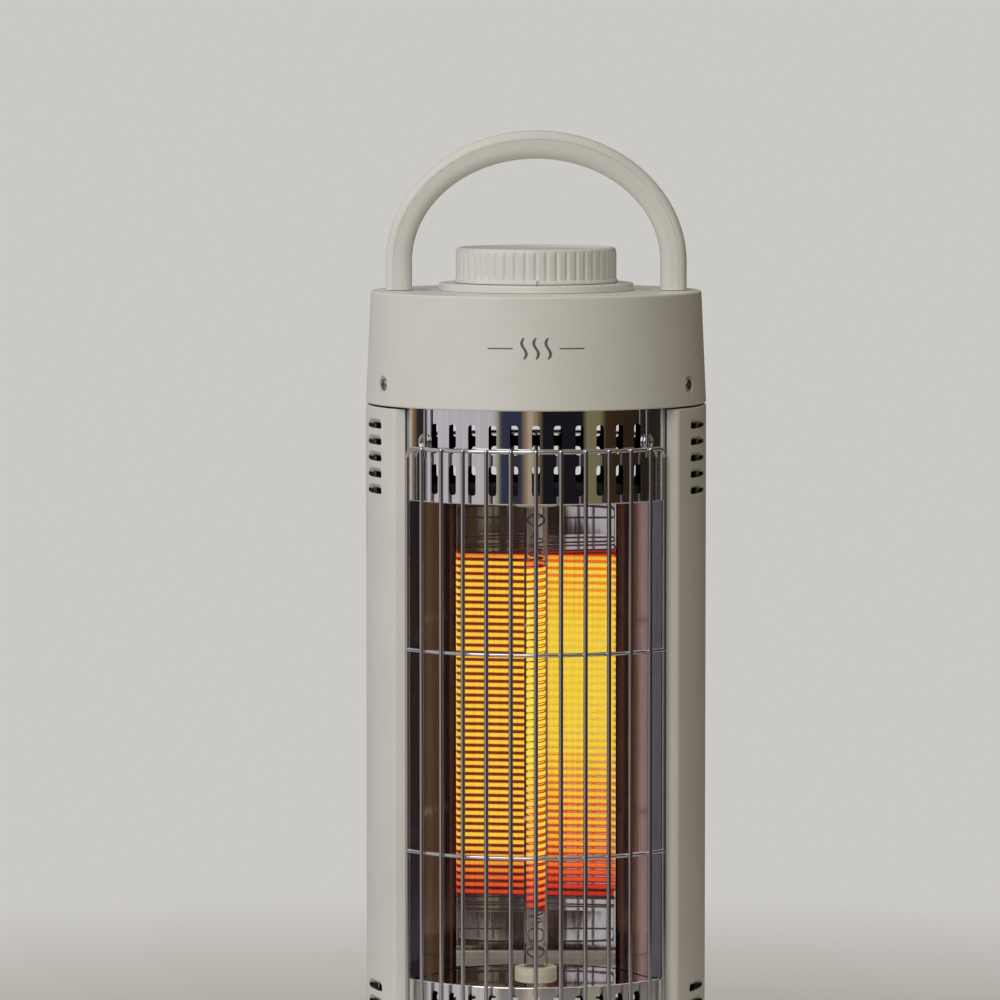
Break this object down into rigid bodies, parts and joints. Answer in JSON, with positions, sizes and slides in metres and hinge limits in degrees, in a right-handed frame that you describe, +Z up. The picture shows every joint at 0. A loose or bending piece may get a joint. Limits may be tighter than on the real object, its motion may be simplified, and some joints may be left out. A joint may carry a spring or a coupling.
{
  "type": "radiant tower heater",
  "caption": "Round-footed two-sided radiant tower heater with quartz lamps in mirror troughs behind wire guards, a ribbed rotary dial and a fixed arch carry handle.",
  "frame": {"origin": "centre of the bounding box's bottom face: on the floor, on the tower's vertical axis", "axes": "+Z up along the tower and the dial's axis, -Y out of the front guard, +X to the right column as seen from the front"},
  "size_m": [0.236, 0.236, 0.5486],
  "materials": {
    "shell": "warm off-white moulded plastic, fine satin",
    "control": "warm off-white moulded plastic, satin",
    "handle": "warm off-white moulded plastic, satin",
    "mirror": "mirror-finished aluminium sheet",
    "guard": "bright plated wire",
    "quartz": "clear quartz",
    "carbon": "glowing carbon ribbon",
    "ceramic": "cream steatite, unglazed",
    "steel": "plated sheet and wire",
    "fastener": "zinc plated",
    "ballast": "dark as-cast",
    "rubber": "soft black",
    "dark_plastic": "black nylon",
    "sleeving": "braided glass sleeving"
  },
  "bodies": {
    "body": {"ballast_ring": "ballast", "base_cover": "shell", "base_plate": "steel", "base_screw_1": "fastener", "base_screw_2": "fastener", "base_screw_3": "fastener", "base_screw_4": "fastener", "cord_gland": "rubber", "dial_flange": "control", "front_carbon_coil": "carbon", "front_guard": "guard", "front_lower_cap": "ceramic", "front_lower_pin": "steel", "front_quartz_tube": "quartz", "front_reflector": "mirror", "front_upper_cap": "ceramic", "front_upper_pin": "steel", "handle_inner": "handle", "handle_outer": "handle", "head_floor": "steel", "head_screw_1": "fastener", "head_screw_2": "fastener", "head_screw_3": "fastener", "head_screw_4": "fastener", "head_shell": "shell", "left_column": "shell", "left_handle_bolt": "fastener", "left_strut": "steel", "left_top_screw": "fastener", "lower_pan": "mirror", "rear_carbon_coil": "carbon", "rear_guard": "guard", "rear_lower_cap": "ceramic", "rear_lower_pin": "steel", "rear_quartz_tube": "quartz", "rear_reflector": "mirror", "rear_upper_cap": "ceramic", "rear_upper_pin": "steel", "return_lead": "sleeving", "right_column": "shell", "right_handle_bolt": "fastener", "right_strut": "steel", "right_top_screw": "fastener", "rotary_switch": "dark_plastic", "rubber_foot_1": "rubber", "rubber_foot_2": "rubber", "rubber_foot_3": "rubber", "rubber_foot_4": "rubber", "supply_lead": "sleeving", "switch_strap": "steel", "terminal_block": "ceramic", "thermal_cutout": "ceramic", "tip_spring": "steel", "tip_switch": "dark_plastic", "tip_switch_bracket": "steel", "upper_pan": "mirror"},
    "dial": {"dial": "control", "dial_shaft": "steel"},
    "tip_plunger": {"tip_plunger": "dark_plastic"}
  },
  "joints": [
    {"name": "dial_turn", "type": "hinge", "parent": "body", "child": "dial", "pos_m": [0, 0, 0.4697], "axis": [0, 0, 1], "range_deg": [-60, 60]},
    {"name": "tip_plunger_drop", "type": "slide", "parent": "body", "child": "tip_plunger", "axis": [0, 0, -1], "range_m": [0, 0.004], "stiffness_N_per_m": 60, "springref_m": 0.006, "deforming": ["tip_spring"]}
  ]
}
